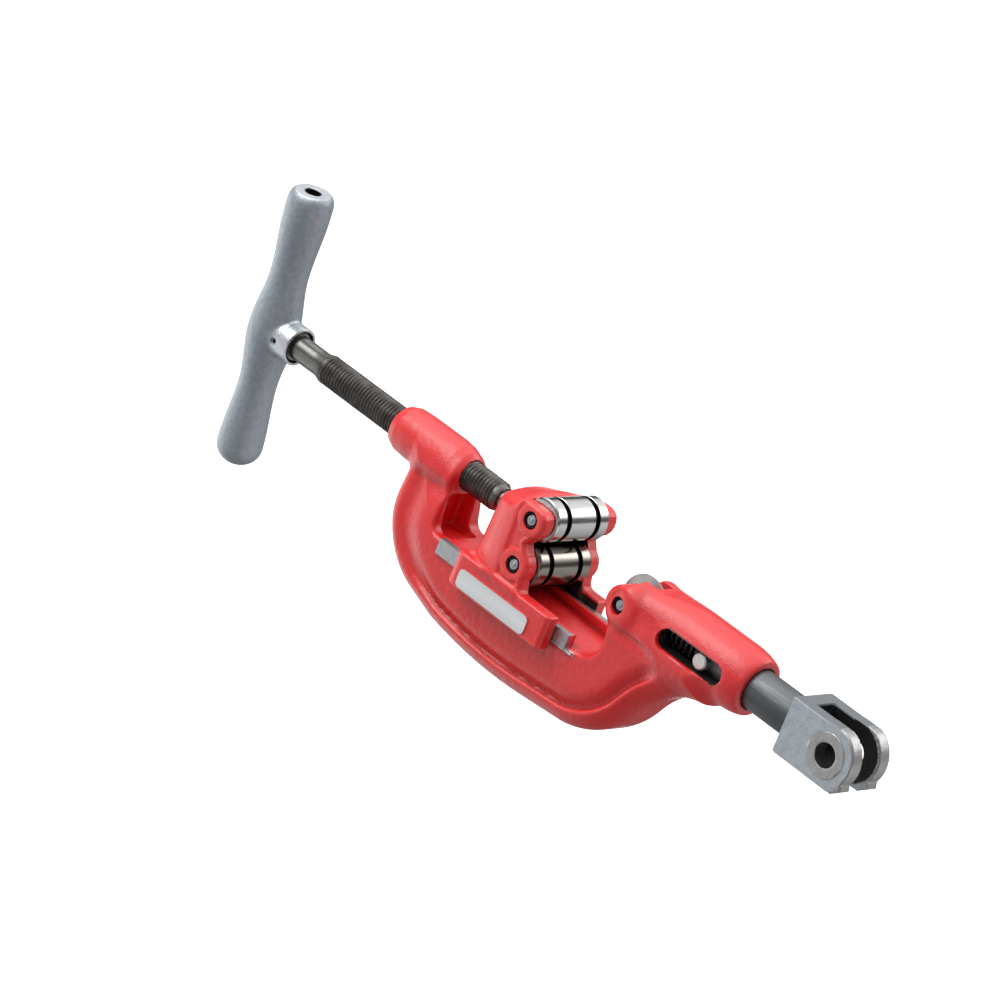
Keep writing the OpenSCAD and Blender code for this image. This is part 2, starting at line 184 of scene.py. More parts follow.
def make_backdrop():
    """A white wall far behind the tool, square to the camera, that fills the picture."""
    cam = bpy.context.scene.camera
    half, behind = 1.5, 6.0
    corners = [cam.matrix_world @ Vector((x * half, y * half, -CAMERA_DISTANCE - behind))
               for x, y in ((-1, -1), (1, -1), (1, 1), (-1, 1))]
    mesh = bpy.data.meshes.new("backdrop")
    mesh.from_pydata(corners, [], [(0, 1, 2, 3)])
    wall = bpy.data.objects.new("backdrop", mesh)
    bpy.context.collection.objects.link(wall)
    material, shader, _, _ = new_material("backdrop_paper", (0.9, 0.9, 0.9), 0.9)
    shader.inputs["Emission Color"].default_value = (1, 1, 1, 1)
    shader.inputs["Emission Strength"].default_value = 1.0
    mesh.materials.append(material)


def make_lights():
    """A key light over the handle, and a strip that shows as the bright line on the rollers."""
    middle_of_tool = (-0.25, 0, -0.02)
    area_light("key", (-1.0, -0.8, 1.2), middle_of_tool, (0.9, 0.9), 9)
    area_light("strip", (0.35, 1.25, 0.95), middle_of_tool, (1.2, 0.35), 4)
    bpy.context.scene.view_settings.view_transform = "Standard"


# ---------------------------------------------------------------- distance fields
# A field gives the signed distance to a surface, negative inside. x, y and z are arrays of any shape.

def both(a, b, r=0.0):
    """Where a and b overlap, with the edge between them rounded to radius r."""
    outside = np.hypot(np.maximum(a + r, 0), np.maximum(b + r, 0))
    return np.minimum(np.maximum(a + r, b + r), 0) + outside - r


def either(a, b, r=0.0):
    """a and b joined, with a fillet of radius r between them."""
    return -both(-a, -b, r)


def without(a, b, r=0.0):
    """a with b cut out, with the edge rounded to radius r."""
    return both(a, -b, r)


def between(v, lo, hi):
    """The slab where v is from lo to hi."""
    return np.maximum(lo - v, v - hi)


def box(x, y, z, lo, hi, r=0.0):
    """A block from corner lo to corner hi, with its edges rounded."""
    return both(both(between(x, lo[0], hi[0]), between(y, lo[1], hi[1]), r), between(z, lo[2], hi[2]), r)


def rod(across, along, radius, lo, hi, r=0.0):
    """A round rod: across is the distance from its axis, and along the position on it."""
    return both(across - radius, between(along, lo, hi), r)


def arc(centre, radius, start, end, count=12):
    """Points of an arc, from angle start to angle end in degrees."""
    turn = np.radians(np.linspace(start, end, count + 1))
    return [(centre[0] + radius * math.cos(t), centre[1] + radius * math.sin(t)) for t in turn]


def polygon(u, v, points):
    """Signed distance to a closed outline in the plane of u and v."""
    best = None
    inside = None
    for (ax, ay), (bx, by) in zip(points, points[1:] + points[:1]):
        ex, ey = bx - ax, by - ay
        wx, wy = u - ax, v - ay
        t = np.clip((wx * ex + wy * ey) / max(ex * ex + ey * ey, 1e-9), 0, 1)
        d = (wx - ex * t) ** 2 + (wy - ey * t) ** 2
        crosses = ((ay <= v) != (by <= v)) & ((wx * ey < ex * wy) == (ey > 0))
        best = d if best is None else np.minimum(best, d)
        inside = crosses if inside is None else inside ^ crosses
    return np.sqrt(best) * np.where(inside, -1, 1)


def gradient(field, points, h=0.06):
    """Unit normals of a field at an array of points, one per row."""
    g = np.empty_like(points)
    for a in range(3):
        d = np.zeros(3)
        d[a] = h
        g[:, a] = field(*(points + d).T) - field(*(points - d).T)
    return g / np.maximum(np.linalg.norm(g, axis=1, keepdims=True), 1e-9)


def contour(field, lo, hi, step):
    """Dual contouring: (vertices, quads) of the surface where field is zero, with sharp edges kept."""
    axes = [np.arange(math.floor(a / step) - 2, math.ceil(b / step) + 3) * step + 0.137 * step
            for a, b in zip(lo, hi)]
    shape = tuple(len(a) for a in axes)
    values = field(axes[0][:, None, None], axes[1][None, :, None], axes[2][None, None, :])
    f = np.array(np.broadcast_to(values, shape))
    inside = f < 0
    strides = np.array([shape[1] * shape[2], shape[2], 1])
    points, normals, cells, flips = [], [], [], []
    for a in range(3):
        b, c = (a + 1) % 3, (a + 2) % 3
        here = tuple(slice(0, -1) if i == a else slice(1, -1) for i in range(3))
        there = tuple(slice(1, None) if i == a else slice(1, -1) for i in range(3))
        index = np.argwhere(inside[here] != inside[there])
        index[:, b] += 1
        index[:, c] += 1
        beyond = index.copy()
        beyond[:, a] += 1
        f0, f1 = f[tuple(index.T)], f[tuple(beyond.T)]
        p = np.stack([axes[i][index[:, i]] for i in range(3)], axis=1)
        p[:, a] += step * f0 / (f0 - f1)
        flat = index @ strides
        points.append(p)
        flips.append(f0 < 0)
        across, up = strides[b], strides[c]
        cells.append(np.stack([flat - across - up, flat - up, flat, flat - across], axis=1))
    points = np.concatenate(points)
    cells = np.concatenate(cells)
    flips = np.concatenate(flips)
    normals = gradient(field, points)
    names, quads = np.unique(cells, return_inverse=True)
    quads = quads.reshape(cells.shape)
    count = np.bincount(quads.ravel(), minlength=len(names))
    sums = [np.bincount(quads.ravel(), np.repeat(points[:, i], 4), len(names)) for i in range(3)]
    centre = np.stack(sums, axis=1) / count[:, None]
    # Least squares: the point of each cell that lies on the tangent planes of its crossings
    matrix = np.zeros((len(names), 3, 3))
    right = np.zeros((len(names), 3))
    for k in range(4):
        cell = quads[:, k]
        offset = np.einsum("ij,ij->i", normals, points - centre[cell])
        for i in range(3):
            right[:, i] += np.bincount(cell, normals[:, i] * offset, len(names))
            for j in range(3):
                matrix[:, i, j] += np.bincount(cell, normals[:, i] * normals[:, j], len(names))
    matrix += 0.06 * np.eye(3)
    shift = np.linalg.solve(matrix, right[:, :, None])[:, :, 0]
    vertices = centre + np.clip(shift, -0.6 * step, 0.6 * step)
    quads[~flips] = quads[~flips][:, ::-1]
    return vertices, quads


# ---------------------------------------------------------------- meshes

def add_object(name, mesh, materials):
    for material in materials:
        mesh.materials.append(material)
    obj = bpy.data.objects.new(name, mesh)
    bpy.context.collection.objects.link(obj)
    return obj


def make_mesh(name, vertices, faces, sharp_angle=32):
    """A mesh in metres from points in millimetres, shaded smooth up to an angle."""
    mesh = bpy.data.meshes.new(name)
    mesh.from_pydata((np.asarray(vertices) * MM).tolist(), [], [list(f) for f in faces])
    mesh.validate()
    mesh.shade_smooth()
    mesh.set_sharp_from_angle(angle=math.radians(sharp_angle))
    return mesh


def store(mesh, name, values):
    """Keeps one number per vertex, for the material to read."""
    layer = mesh.attributes.new(name, "FLOAT", "POINT")
    layer.data.foreach_set("value", np.asarray(values, np.float32))


def casting(name, field, lo, hi, materials, step=STEP, bare=None):
    """A contoured casting. Its vertices carry how convex the surface is, and how bare the metal, where -1
    marks near-black painted shade.
    """
    vertices, quads = contour(field, lo, hi, step)
    mesh = make_mesh(name, vertices, quads.tolist())
    normals = gradient(field, vertices)
    convex = np.zeros(len(vertices))
    for reach in (1.5, 4.0):
        convex += 1 - np.abs(field(*(vertices - normals * reach).T)) / reach
        convex -= 1 - np.abs(field(*(vertices + normals * reach).T)) / reach
    store(mesh, "convex", convex)
    store(mesh, "bare", np.zeros(len(vertices)) if bare is None else bare(*vertices.T))
    return add_object(name, mesh, materials)


def lathe(name, profile, materials, axis="x", at=(0, 0, 0), segments=96, sharp_angle=28):
    """A closed profile of (along, radius) points turned about an axis. Ends at radius 0 become caps."""
    turn = np.linspace(0, 2 * math.pi, segments, endpoint=False)
    rows = []
    vertices = []
    for along, radius in profile:
        start = len(vertices)
        if radius < 1e-6:
            ring = [(along, 0, 0)]
        else:
            ring = [(along, radius * math.cos(t), radius * math.sin(t)) for t in turn]
        vertices += ring
        rows.append((start, len(ring)))
    faces = []
    for (a, na), (b, nb) in zip(rows, rows[1:] + rows[:1]):
        if na == 1 and nb == 1:
            continue
        for i in range(segments):
            j = (i + 1) % segments
            quad = [a + (i if na > 1 else 0), a + (j if na > 1 else 0), b + (j if nb > 1 else 0),
                    b + (i if nb > 1 else 0)]
            faces.append(list(dict.fromkeys(quad)))
    vertices = np.array(vertices, float)
    if axis == "y":
        vertices = vertices[:, [2, 0, 1]]
    if axis == "z":
        vertices = vertices[:, [1, 2, 0]]
    mesh = make_mesh(name, vertices + np.array(at), faces, sharp_angle)
    return add_object(name, mesh, materials)


# ---------------------------------------------------------------- materials

def new_material(name, colour, roughness, metallic=0.0):
    """A material as its parts: (material, shader, nodes, links)."""
    material = bpy.data.materials.new(name)
    material.use_nodes = True
    nodes = material.node_tree.nodes
    shader = nodes["Principled BSDF"]
    shader.inputs["Base Color"].default_value = (*colour, 1)
    shader.inputs["Roughness"].default_value = roughness
    shader.inputs["Metallic"].default_value = metallic
    return material, shader, nodes, material.node_tree.links


def noise(material_parts, scale, detail=3.0, stretch=None):
    """Noise in object space, in features per metre; stretch gives the three axes their own scales."""
    _, _, nodes, links = material_parts
    place = nodes.new("ShaderNodeTexCoord")
    texture = nodes.new("ShaderNodeTexNoise")
    texture.inputs["Scale"].default_value = scale
    texture.inputs["Detail"].default_value = detail
    if stretch:
        mapping = nodes.new("ShaderNodeMapping")
        mapping.inputs["Scale"].default_value = stretch
        links.new(place.outputs["Object"], mapping.inputs["Vector"])
        links.new(mapping.outputs["Vector"], texture.inputs["Vector"])
    else:
        links.new(place.outputs["Object"], texture.inputs["Vector"])
    return texture.outputs["Fac"]


def attribute(material_parts, name):
    """A number stored on the mesh's vertices."""
    _, _, nodes, _ = material_parts
    node = nodes.new("ShaderNodeAttribute")
    node.attribute_name = name
    return node.outputs["Fac"]


def remap(material_parts, value, lo, hi, to_lo, to_hi):
    """value from lo..hi mapped to to_lo..to_hi, and held at the ends."""
    _, _, nodes, links = material_parts
    node = nodes.new("ShaderNodeMapRange")
    for socket, number in zip(("From Min", "From Max", "To Min", "To Max"), (lo, hi, to_lo, to_hi)):
        node.inputs[socket].default_value = number
    links.new(value, node.inputs["Value"])
    return node.outputs["Result"]


def blend(material_parts, amount, a, b):
    """A colour between a and b. Each is a colour or an output of another node."""
    _, _, nodes, links = material_parts
    node = nodes.new("ShaderNodeMix")
    node.data_type = "RGBA"
    links.new(amount, node.inputs["Factor"])
    for socket, value in (("A", a), ("B", b)):
        target = [i for i in node.inputs if i.name == socket and i.type == "RGBA"][0]
        if isinstance(value, tuple):
            target.default_value = (*value, 1)
        else:
            links.new(value, target)
    return [o for o in node.outputs if o.type == "RGBA"][0]


def add_bump(material_parts, *heights):
    """Bumps from (height output, depth in metres) pairs, one over the other."""
    _, shader, nodes, links = material_parts
    below = None
    for height, depth in heights:
        node = nodes.new("ShaderNodeBump")
        node.inputs["Distance"].default_value = depth
        links.new(height, node.inputs["Height"])
        if below:
            links.new(below, node.inputs["Normal"])
        below = node.outputs["Normal"]
    links.new(below, shader.inputs["Normal"])


def enamel(name, colour):
    """Glossy paint over a sand casting, with painted shade in the hollows, a painted highlight on the edges
    and near-black painted shade in the bores.
    """
    parts = new_material(name, colour, 0.4)
    _, shader, _, links = parts
    shader.inputs["Specular IOR Level"].default_value = 0.7
    shader.inputs["Coat Weight"].default_value = 0.3
    shader.inputs["Coat Roughness"].default_value = 0.22
    convex = attribute(parts, "convex")
    hollow_shade_and_mottle = tuple(c * 0.55 for c in colour)
    painted_edge_highlight = (min(1, colour[0] * 1.05 + 0.04), colour[1] + 0.045, colour[2] + 0.045)
    way_metal = (0.50, 0.51, 0.52)
    bore = (0.012, 0.011, 0.011)
    # Painted shade in the hollows and a painted highlight on the convex edges, both from the convex
    # attribute; the noise adds a random darker mottle
    base = blend(parts, remap(parts, convex, -0.9, 0.1, 0, 1), hollow_shade_and_mottle, colour)
    base = blend(parts, remap(parts, convex, 0.15, 1.4, 0, 0.75), base, painted_edge_highlight)
    base = blend(parts, remap(parts, noise(parts, 130), 0.35, 0.75, 0, 0.15), base, hollow_shade_and_mottle)
    bare = attribute(parts, "bare")
    metal = remap(parts, bare, 0, 1, 0, 1)
    base = blend(parts, metal, base, way_metal)
    # Near black where bare is -1: painted shade in the bores, the slot and the slide's pocket
    base = blend(parts, remap(parts, bare, -1, 0, 1, 0), base, bore)
    links.new(base, shader.inputs["Base Color"])
    links.new(metal, shader.inputs["Metallic"])
    links.new(remap(parts, noise(parts, 420), 0.3, 0.8, 0.36, 0.48), shader.inputs["Roughness"])
    add_bump(parts, (noise(parts, 260, 2), 0.0004), (noise(parts, 1000, 3), 0.00022))
    return parts[0]


def machined(name, colour, roughness, grain=(60, 60, 60), depth=0.00003, spread=0.1):
    """Bare metal with fine tool marks: noise stretched by grain, in features per metre."""
    parts = new_material(name, colour, roughness, 1.0)
    _, shader, _, links = parts
    marks = noise(parts, 1.0, 4, grain)
    rough = remap(parts, marks, 0.3, 0.7, roughness - spread, roughness + spread)
    links.new(rough, shader.inputs["Roughness"])
    dark = tuple(c * 0.72 for c in colour)
    stain = noise(parts, 1.0, 3, tuple(g * 0.31 for g in grain))
    streaked = blend(parts, remap(parts, stain, 0.35, 0.7, 0, 0.6), colour, dark)
    links.new(streaked, shader.inputs["Base Color"])
    add_bump(parts, (marks, depth))
    return parts[0]


def cast_aluminium(name, cast, cut, rough=0.42):
    """A sand-cast surface with machined areas where the bare attribute says, near-black painted shade where
    it is below 0, and a painted highlight on convex edges.
    """
    parts = new_material(name, cast, rough, 0.35)
    _, shader, _, links = parts
    dark = tuple(c * 0.7 for c in cast)
    mottled = blend(parts, remap(parts, noise(parts, 320, 4), 0.35, 0.7, 0, 0.55), cast, dark)
    # A painted highlight: convex edges are lightened towards the machined colour
    mottled = blend(parts, remap(parts, attribute(parts, "convex"), 0.3, 1.6, 0, 0.5), mottled, cut)
    bare = attribute(parts, "bare")
    mottled = blend(parts, remap(parts, bare, 0, 1, 0, 1), mottled, cut)
    # Painted shade: near black where bare is -1, and part way where it lies between -1 and 0
    links.new(blend(parts, remap(parts, bare, -1, 0, 1, 0), mottled, (0.015, 0.015, 0.016)),
              shader.inputs["Base Color"])
    links.new(remap(parts, bare, 0, 1, 0.35, 1), shader.inputs["Metallic"])
    links.new(remap(parts, bare, 0, 1, rough, 0.42), shader.inputs["Roughness"])
    add_bump(parts, (noise(parts, 900, 3), 0.00018), (noise(parts, 200, 2), 0.0004))
    return parts[0]


def dark_thread(name):
    """Blackened steel, mottled, with a bright shank and tip."""
    parts = new_material(name, (0.06, 0.05, 0.045), 0.36, 0.9)
    _, shader, _, links = parts
    mottling = remap(parts, noise(parts, 150, 4), 0.35, 0.7, 0, 1)
    brown = blend(parts, mottling, (0.075, 0.068, 0.064), (0.16, 0.15, 0.14))
    base = blend(parts, attribute(parts, "bare"), brown, (0.22, 0.22, 0.21))
    links.new(base, shader.inputs["Base Color"])
    links.new(remap(parts, attribute(parts, "bare"), 0, 1, 0.4, 0.28), shader.inputs["Roughness"])
    add_bump(parts, (noise(parts, 900, 3), 0.0001))
    return parts[0]


# ---------------------------------------------------------------- the C frame

POST_BACK = low("c_frame")[0] + 25
THROAT_X = (-312, -168.5)
WAY_X = (-301, -187.5)
BARREL = (-163, -69)
WAY_Z = (-43, -33)
SLOT_X, SLOT_HALF, SLOT_R = -107.2, 19.2, 6
HEAD_R = 12
HALF = 22                    # half the frame's thickness


def bump(v, at, width):
    """A smooth hump of height 1 at a place, gone at about twice the width."""
    return np.exp(-((v - at) / width) ** 2)


def step_up(v, start, end):
    """0 before start and 1 after end, smooth between them."""
    t = np.clip((v - start) / (end - start), 0, 1)
    return t * t * (3 - 2 * t)


def frame_outline():
    """The C seen from the side, as (x, z) points: post, base, bend and the run up to the barrel."""
    return ([(POST_BACK - 1, 8)] + arc((-299, -25), 55, 180, 250, 14) + arc((-236, 213), 303, 259, 275, 8)
            + arc((-187, -25.5), 61.5, 279, 333, 14) + arc((-76.7, -81.3), 62.1, 153, 105, 10)
            + [(-92, 0), (THROAT_X[0], 8)])


def throat_outline():
    """The opening of the C, as (x, z) points."""
    return ([(THROAT_X[1], 60), (THROAT_X[1], -10)] + arc((-180.5, -25.5), 14.5, 0, -90, 8)
            + arc((THROAT_X[0] + 6, WAY_Z[1] + 5), 7, 270, 190, 5)
            + [(THROAT_X[0] - 5, 8), (THROAT_X[0] - 5, 60)])


# The threaded boss as (x, radius) points
BOSS = [(-379, 0), (-379, 9.5), (-376, 13.2), (-371, 15.0), (-362, 15.6), (-333, 15.6), (-325, 14.8),
        (-319, 12.8), (-316, 10.4), (-316, 0)]


def slot_field(x, z, radius):
    """The slot in the barrel that the stop pin runs in."""
    return np.hypot(np.maximum(np.abs(x - SLOT_X) - SLOT_HALF, 0), z) - radius


def frame_field(x, y, z):
    ay = np.abs(y)
    rho = np.hypot(y, z)
    outline = polygon(x, z, frame_outline())
    throat = polygon(x, z, throat_outline())
    # The post narrows towards the boss
    half = HALF - 4.5 * step_up(z, -46, -6) * (1 - step_up(x, -300, -240))
    at_post = 1 - step_up(x, -335, -290)
    body = both(outline, ay - half, 15)
    # A hollow inside the rim, wide down the post, narrow under the base, and gone at the barrel
    inside = -outline - 13.5 - 2.5 * at_post
    width = np.where(inside > 0, 5 + 5.5 * at_post, 2.0 + 5.0 * at_post)
    along = (1 - step_up(x + z * 0.6, -152, -132)) * (1 - step_up(z, -14, -2))
    body = body + (3.9 - 0.3 * at_post) * bump(inside, 0, width) * along * step_up(ay, 4, 10)
    body = without(body, throat, 2.6)
    # Channel down the inside of the post
    body = without(body, box(x, y, z, (THROAT_X[0] - 13, -13, -38), (THROAT_X[0] + 9, 11, -12), 3), 1.2)
    # Rough web between the ways
    crown = z + 35.2 - 1.2 * np.cos(y * 0.13)
    web = both(box(x, y, z, (WAY_X[0] + 2, -19.5, -60), (WAY_X[1] - 2, 19.5, 0), 3), -crown, 0.5)
    body = without(body, web, 0.7)
    body = either(body, polygon(x, rho, BOSS), 4)
    # The barrel, which runs forward into the head: round at the back, square with soft corners at the wheel
    forward = 1 - step_up(x, -158, -118)
    mouth = 5.5 * (1 - np.sqrt(1 - np.clip((x - BARREL[1] + 18) / 19.5, 0, 1) ** 2))
    wide = 20.4 + 1.4 * forward - mouth
    high_side = 20.4 - 4.2 * forward - mouth
    corner = 20.4 - 6.5 * forward - mouth
    tube = both(both(ay - wide, np.abs(z) - high_side, corner), between(x, *BARREL), 1.5)
    at_pin = np.hypot(x - WHEEL[0], z)
    head = both(at_pin - HEAD_R, ay - HALF + 0.2, 3.5)
    body = either(body, tube, 11)
    body = either(body, head, 6)
    # A soft hollow behind the pin's cheek
    body = body + 1.7 * bump(np.hypot(x + 148, z + 4), 0, 7.5) * step_up(ay, 8, 14)
    # Machined ways
    ways = box(x, ay, z, (WAY_X[0], 17, WAY_Z[0]), (WAY_X[1], WAY_HALF, WAY_Z[1]), 0.4)
    lip = box(x, ay, z, (WAY_X[1] - 4, 17, WAY_Z[0]), (-181.5, WAY_HALF - 0.3, WAY_Z[0] + 1.4), 0.3)
    body = either(either(body, ways, 0.5), lip, 0.8)
    # Bores and cuts
    body = without(body, both(rho - SCREW_R - 0.06, x + 300), 0.8)
    body = without(body, both(rho - SPINDLE_R - 0.06, -142 - x), 1.5)
    body = without(body, slot_field(x, z, SLOT_R), 0.6)
    body = without(body, both(at_pin - WHEEL_R - 1.7, ay - 6.6, 0.5), 1.0)
    body = without(body, at_pin - PIN_R - 0.02, 0.3)
    body = without(body, both(at_pin - RING_R - 0.1, HALF - 2.2 - ay), 0.4)
    return body


def frame_bare_and_shade(x, y, z):
    """1 where the ways are machined bright, -1 in the unpainted bores and the slot, coloured near black as
    painted shade.
    """
    ay = np.abs(y)
    ways = box(x, ay, z, (WAY_X[0] - 0.3, 19.7, WAY_Z[0] - 0.4),
               (WAY_X[1] + 0.3, WAY_HALF + 0.3, WAY_Z[1] + 0.3))
    lip = box(x, ay, z, (WAY_X[1], 21.5, WAY_Z[0] - 0.4), (-181, WAY_HALF + 0.3, WAY_Z[0] + 1.6))
    ways = np.minimum(ways, lip)
    slot = both(slot_field(x, z, SLOT_R + 0.5), ay - 19.9)
    bores = np.minimum(np.hypot(y, z) - SPINDLE_R - 0.6, slot)
    bores = np.where(x < -300, np.hypot(y, z) - SCREW_R - 0.3, bores)
    return np.where(ways < 0, 1.0, np.where(bores < 0, -1.0, 0.0))


# ---------------------------------------------------------------- the slide

EAR_R = 11
EAR_INNER = ROLLER_HALF + 0.3
SKIRT_X = (-281, -198.5)
SKIRT_TOP = -28
FAR_SKIRT_CUT = 14           # how much shorter the skirt is on the far side
SLIDE_BACK = -274.7
LOCK_PINS = (low("screw_lock_pins"), high("screw_lock_pins"))


def slide_side_outline():
    """The slide above its skirt, seen from the side: back, top, and the two ears."""
    return ([(SLIDE_BACK - 12, -31), (SLIDE_BACK - 12, 13), (-266, 26.0), (-252, 26.2), (-248, 24.6)]
            + arc((UPPER[0], UPPER[2]), EAR_R, 118, -60, 10) + [(UPPER[0] + 2, 0)]
            + arc((LOWER[0], LOWER[2]), EAR_R, 60, -30, 8) + [(-227.5, -24), (-227, -31)])


def slide_field(x, y, z):
    ay = np.abs(y)
    profile = polygon(x, z, slide_side_outline())
    # The back and the sides that taper in towards it
    back = -0.995 * (x - SLIDE_BACK) + 0.1 * z
    taper = -0.496 * (x + 256) + 0.868 * (ay - SLIDE_HALF)
    shell = both(both(ay - SLIDE_HALF, taper, 5), back, 6)
    top = z - 24.0 + 5.0 * (ay / 26) ** 2 * (1 - step_up(x, -256, -246)) - 0.35 * (x + 254) * (x < -254)
    side = both(both(profile, ay - SLIDE_HALF, 3), EAR_INNER - ay, 0.6)
    # A recessed panel between the tapered edge, the pads round the pins and the skirt
    pads = np.minimum(np.hypot(x - UPPER[0], z - UPPER[2]), np.hypot(x - LOWER[0], z - LOWER[2])) - 9.6
    panel = np.maximum(np.maximum(-252.5 - x, -pads), -26 - z)
    panel = np.maximum(panel, profile + 3.0)
    side = without(side, both(panel, SLIDE_HALF - 1.3 - ay, 1), 1.2)
    wall = both(polygon(x, z, [(SLIDE_BACK - 12, -31), (SLIDE_BACK - 12, 40), (-248, 40), (-246, -31)]),
                ay - SLIDE_HALF, 3)
    upright = both(either(side, wall, 1.5), shell, 1)
    upright = both(upright, top, 4)
    floor = box(x, y, z, (SKIRT_X[0] + 6, -25, WAY_Z[1] + 0.3), (UPPER[0] - 2, 25, SKIRT_TOP + 2), 1.5)
    blunt = both(SKIRT_X[0] - x, ay - SLIDE_HALF - 0.6, 9)
    skirt_end = SKIRT_X[1] + 0.4 - FAR_SKIRT_CUT * (y > 0)
    plan = np.maximum(blunt, both(x - skirt_end, ay - SLIDE_HALF - 0.6, 3))
    skirt = both(both(plan, 24.3 - ay, 0.8), between(z, SKIRT_LOW - 0.6, SKIRT_TOP + 0.5), 1.2)
    body = either(either(upright, floor, 2), skirt, 4)
    boss = rod(np.hypot(y, z), x, 9.6, -281, -262, 2)
    body = either(body, boss, 3)
    # Rib on the far side, round the pins that lock the feed screw
    rib = box(x, y, z, LOCK_PINS[0] - 2.2, LOCK_PINS[1] + (2.2, -0.4, 2.2), 2)
    body = either(body, rib, 2)
    # Room for the rollers, and the bores and counterbores of their pins
    for roller in (UPPER, LOWER):
        at_pin = np.hypot(x - roller[0], z - roller[2])
        space = rod(at_pin, y, ROLLER_R + 0.8, -EAR_INNER, EAR_INNER)
        body = without(body, space, 0.5)
        body = without(body, at_pin - PIN_R - 0.02, 0.3)
        body = without(body, both(at_pin - RING_R - 0.1, SLIDE_HALF - 2 - ay), 0.4)
    between_ears = box(x, y, z, (UPPER[0] - 8, -EAR_INNER, LOWER[2]), (UPPER[0] + 40, EAR_INNER, UPPER[2]))
    body = without(body, between_ears, 0.5)
    # Ways and pockets for the keepers
    body = without(body, box(x, y, z, (-300, -24.3, -60), (-190, 24.3, WAY_Z[1] + 0.3)), 0.6)
    body = without(body, box(x, y, z, (-271.2, -30.5, -60), (-218.3, 30.5, WAY_Z[0] - 0.4)), 0.4)
    body = without(body, both(np.hypot(y, z) - 6.05, x + 263.6), 0.5)
    return body


def slide_painted_shade(x, y, z):
    """-1 in the unpainted pocket behind the rollers and on the faces that run on the ways, coloured near
    black as painted shade.
    """
    ay = np.abs(y)
    pocket = (ay < EAR_INNER + 0.4) & (x > -256) & (z < 20)
    inside = (ay < 24.9) & (z < SKIRT_TOP - 0.4)
    return -(pocket | inside).astype(float)


# ---------------------------------------------------------------- the T handle

HANDLE_X = low("t_handle")[0] + 15.9
HANDLE_LEAN = math.radians(6)
HUB_FACE = -474.7
HUB_R = 12.5


def bar_outline():
    """(height, radius) points of the handle bar: a swell at the hub, waists, a bulb at each end."""
    swell, waist, bulb = 15.9, 12.1, 14.5
    points = []
    for h in np.linspace(-81, 87, 44):
        a = abs(h)
        if a < 38:
            r = waist + (swell - waist) * (1 + math.cos(math.pi * a / 38)) / 2
        else:
            r = bulb + (waist - bulb) * (1 + math.cos(math.pi * min(1, (a - 38) / 42))) / 2
        points.append((h, r))
    lower_end = [(-81 - 13 * math.sin(t), bulb * math.cos(t)) for t in np.linspace(math.pi / 2, 0, 9)[:-1]]
    return lower_end + points + [(90, 13.9), (92.1, 12.8), (93.5, 11), (93.5, 0)]


def lean(y, z):
    """y and z in the leaning handle's own frame."""
    c, s = math.cos(HANDLE_LEAN), math.sin(HANDLE_LEAN)
    return y * c + z * s, z * c - y * s


def handle_field(x, y, z):
    y, z = lean(y, z)
    bar = polygon(z, np.hypot(x - HANDLE_X, y), bar_outline())
    rho = np.hypot(y, z)
    hub = rod(rho, x, HUB_R, HANDLE_X, HUB_FACE, 0.9)
    body = either(bar, hub, 2.0)
    body = without(body, both(rho - 8.05, -503 - x), 0.5)
    body = without(body, both(rho - 10.6, HUB_FACE - 2.6 - x), 0.4)
    body = without(body, np.hypot(x + 486, z) - 2.42, 0.4)
    body = without(body, both(np.hypot(x - HANDLE_X, y) - 5, 81 - z), 0.8)
    return body


def handle_bare_and_shade(x, y, z):
    """The hub, the rim of the bar's hole and the hole itself are machined; the hole and the recess in the
    hub are coloured near black as painted shade.
    """
    y, z = lean(y, z)
    hub = (x > -489) & (np.hypot(y, z) < HUB_R + 0.6)
    hole = (np.hypot(x - HANDLE_X, y) < 5.3) & (z > 70)
    recess = (np.hypot(y, z) < 10.9) & (x > -480)
    return np.where(hole | recess, -1.0, (hub | (z > 93.1)).astype(float))


# ---------------------------------------------------------------- the clevis

CLEVIS_BACK = low("clevis")[0]
CLEVIS_HALF = 16.9
CLEVIS_LOW, CLEVIS_TOP = -17.8, 18.3


def clevis_field(x, y, z):
    ay = np.abs(y)
    tip = np.hypot(x, z) - 19.5
    shank = polygon(x, z, [(CLEVIS_BACK, CLEVIS_LOW), (12, CLEVIS_LOW), (18.4, -13), (14, 0),
                           (6, CLEVIS_TOP), (CLEVIS_BACK, CLEVIS_TOP)])
    plate = either(both(tip, CLEVIS_LOW - z), shank, 0.5)
    plate = both(plate, z - CLEVIS_TOP, 1.5)
    body = both(both(plate, CLEVIS_BACK - x, 3), ay - CLEVIS_HALF, 1.6)
    face = both(np.hypot(x, z) - 13.3, ay - CLEVIS_HALF - 0.4, 0.3)
    body = np.minimum(body, face)
    gap = box(x, y, z, (-24, -8, -60), (60, 8, 60), 2.2)
    body = without(body, gap, 0.9)
    body = without(body, np.hypot(x, z) - 7.15, 0.7)
    body = without(body, both(np.hypot(y, z) - 9.02, x + 27.7), 0.3)
    return body


def clevis_bare_and_shade(x, y, z):
    """The spot faces and the rounded end are machined; the top is darkened and the gap and bore are near
    black, as painted shade.
    """
    r = np.hypot(x, z)
    face = (r < 13.6) & (np.abs(y) > CLEVIS_HALF - 0.3)
    end = (r > 18.3) & (x > 2) & (z > -14)
    gap = (np.abs(y) < 8.4) & (x > -27) & (r < np.where(x > 0, 17.5, 40)) & (z < 17)
    # Painted shade: the top face is darkened part way to black
    top = np.where((z > 17.2) & (x < 7), -0.55, 0.0)
    return np.where(gap | (r < 7.5), -1.0, np.where(face | end, 1.0, top))


# ---------------------------------------------------------------- turned and bent parts

